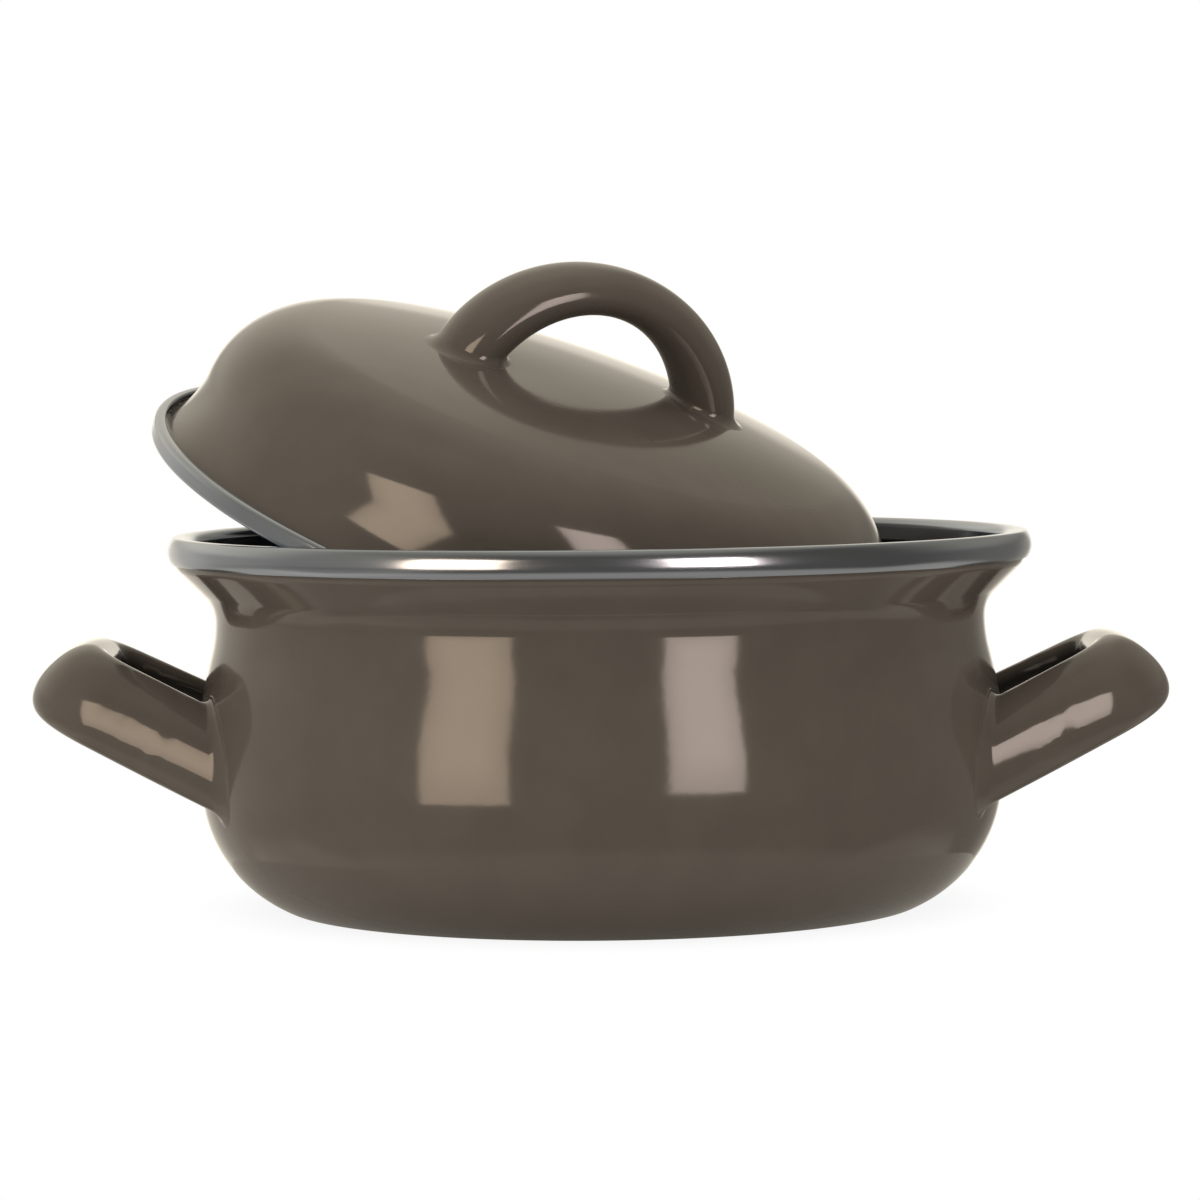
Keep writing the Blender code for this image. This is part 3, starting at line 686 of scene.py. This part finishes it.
# Name, direction and width in degrees, lower and upper edge, colour, radiance.
BOXES = (
    ("left_box", -37.6, 27.5, -165, 560, (1.0, 0.77, 0.57), 5.2),
    ("right_box", 28.4, 22.5, -100, 560, (1.0, 0.83, 0.75), 7.1),
)
ROOM_TINT = (1.0, 0.93, 0.80, 1)
CEILING_TINT = (1.0, 0.925, 0.75, 1)
ROOM_LEVEL = 0.1
PAPER_LEVEL = 0.4
SWEEP_LEVEL = 0.4
SCREEN_LEVEL = 0.24
WHITE_LEVEL = 0.5
TABLE_LEVEL = 0.3
LEFT_WALL_LEVEL = 0.18
OVERHEAD_LEVEL = 0.3
LEFT_TABLE_LEVEL = 0.17
TENT_SLANT = 0.16
TENT_DIMMING = 0.25
for name, azimuth, wide, low, high, colour, radiance in BOXES:
    lamp = bpy.data.lights.new(name, "AREA")
    lamp.shape = "RECTANGLE"
    lamp.size = 2 * BOX_DISTANCE * math.tan(math.radians(wide) / 2) * MM
    lamp.size_y = (high - low) * MM
    lamp.color = colour
    lamp.energy = radiance * math.pi * lamp.size * lamp.size_y
    lamp.use_nodes = True
    cloth = Shade(lamp.node_tree, None).node("ShaderNodeNewGeometry", {}, {}, "Parametric")
    across = cloth.node("ShaderNodeSeparateXYZ", {}, {"Vector": cloth}, "X")
    tall = across.beside("Y")
    hot = across.ramp(0, BOX_MARGIN) * (1 - across.ramp(1 - BOX_MARGIN, 1)) * tall.ramp(0, BOX_MARGIN)
    seam = across.ramp(0, BOX_SEAM) * (1 - across.ramp(1 - BOX_SEAM, 1))
    glow = seam * (BOX_MARGIN_LEVEL + (1 - BOX_MARGIN_LEVEL) * hot)
    feed(lamp.node_tree.nodes["Emission"], glow, "Strength")
    box = bpy.data.objects.new(name, lamp)
    side = math.radians(azimuth)
    box.location = (
        BOX_DISTANCE * math.sin(side) * MM,
        -BOX_DISTANCE * math.cos(side) * MM,
        (low + high) / 2 * MM,
    )
    box.rotation_euler = (math.radians(90), 0, side)
    box.visible_diffuse = False
    bpy.context.scene.collection.objects.link(box)

# The studio depends on a ray's direction: back is 1 straight behind the pot, right is 1 on the right
# and up is 1 overhead. Left and below are opposite to right and up. Each tone is a product of steps.
world = bpy.data.worlds.new("studio")
bpy.context.scene.world = world
world.use_nodes = True
way = Shade(world.node_tree, None).node("ShaderNodeTexCoord", {}, {}, "Generated")
back = way.node("ShaderNodeSeparateXYZ", {}, {"Vector": way}, "Y")
right = back.beside("X")
up = back.beside("Z")
left = 0 - right
below = 0 - up
paper = back.ramp(-0.1, 0.6) * (1 - 0.45 * right.ramp(0.1, 0.4)) * (0.4 + 0.6 * up.ramp(0.08, 0.3))
sweep = back.ramp(0.8, 0.98) * (1 - up.ramp(0.02, 0.18)) * (1 - 0.5 * right.ramp(0.0, 0.3))
screen = back.ramp(0.5, 0.85) * (1 - right.ramp(0.12, 0.3))
white = back.ramp(0.95, 0.98) * (1 - up.ramp(0.19, 0.27))
table_start = below + 0.2 * back.ramp(-0.1, 0.3) * (1 - back.ramp(0.58, 0.8))
table_end = below + 0.25 * back.ramp(0.0, 0.3)
table_top = table_start.ramp(0.48, 0.66) * (1 - table_end.ramp(0.85, 1.0))
left_wall = left.ramp(0.3, 0.8) * (1 - below.ramp(0.1, 0.5))
left_table = left.ramp(0.55, 0.8) * below.ramp(0.25, 0.45) * (1 - below.ramp(0.65, 0.8))
left_table = left_table * (1 - back.ramp(0.1, 0.35))
studio = ROOM_LEVEL
for share, tone in (
    (PAPER_LEVEL, paper),
    (SWEEP_LEVEL, sweep),
    (SCREEN_LEVEL, screen),
    (WHITE_LEVEL, white),
    (TABLE_LEVEL, table_top),
    (LEFT_WALL_LEVEL, left_wall),
    (OVERHEAD_LEVEL, up.ramp(0.7, 1.0)),
    (LEFT_TABLE_LEVEL, left_table),
):
    studio = studio + share * tone
tent = (1.0 - TENT_SLANT * right) * (1 - TENT_DIMMING * below.ramp(0, 0.8))
seen, mirrored = ray_kinds(way)
level = tent + mirrored * (studio - tent)
level = level + seen * (1 - level)
tint = mirrored.mix(WHITE, up.ramp(0.1, 0.5).mix(ROOM_TINT, CEILING_TINT))
feed(world.node_tree.nodes["Background"], tint, "Color")
feed(world.node_tree.nodes["Background"], level, "Strength")

# Camera. A long lens a little above the rim, looking slightly down, with a trace of roll.
# Its place, dip and lens were worked out from the rim's ellipse, the base and the handles.
CAMERA_PLACE = (0, -725.9, 85.35)
CAMERA_DIP = 3.139
CAMERA_ROLL = -0.555
CAMERA_LENS = 145.2
CAMERA_SENSOR = 36
lens = bpy.data.cameras.new("camera")
lens.lens = CAMERA_LENS
lens.sensor_width = CAMERA_SENSOR
camera = bpy.data.objects.new("camera", lens)
camera.matrix_world = (
    Matrix.Translation(Vector(CAMERA_PLACE) * MM)
    @ Matrix.Rotation(math.radians(90 - CAMERA_DIP), 4, "X")
    @ Matrix.Rotation(math.radians(CAMERA_ROLL), 4, "Z")
)
bpy.context.scene.collection.objects.link(camera)
bpy.context.scene.camera = camera
bpy.context.scene.view_settings.view_transform = "Standard"
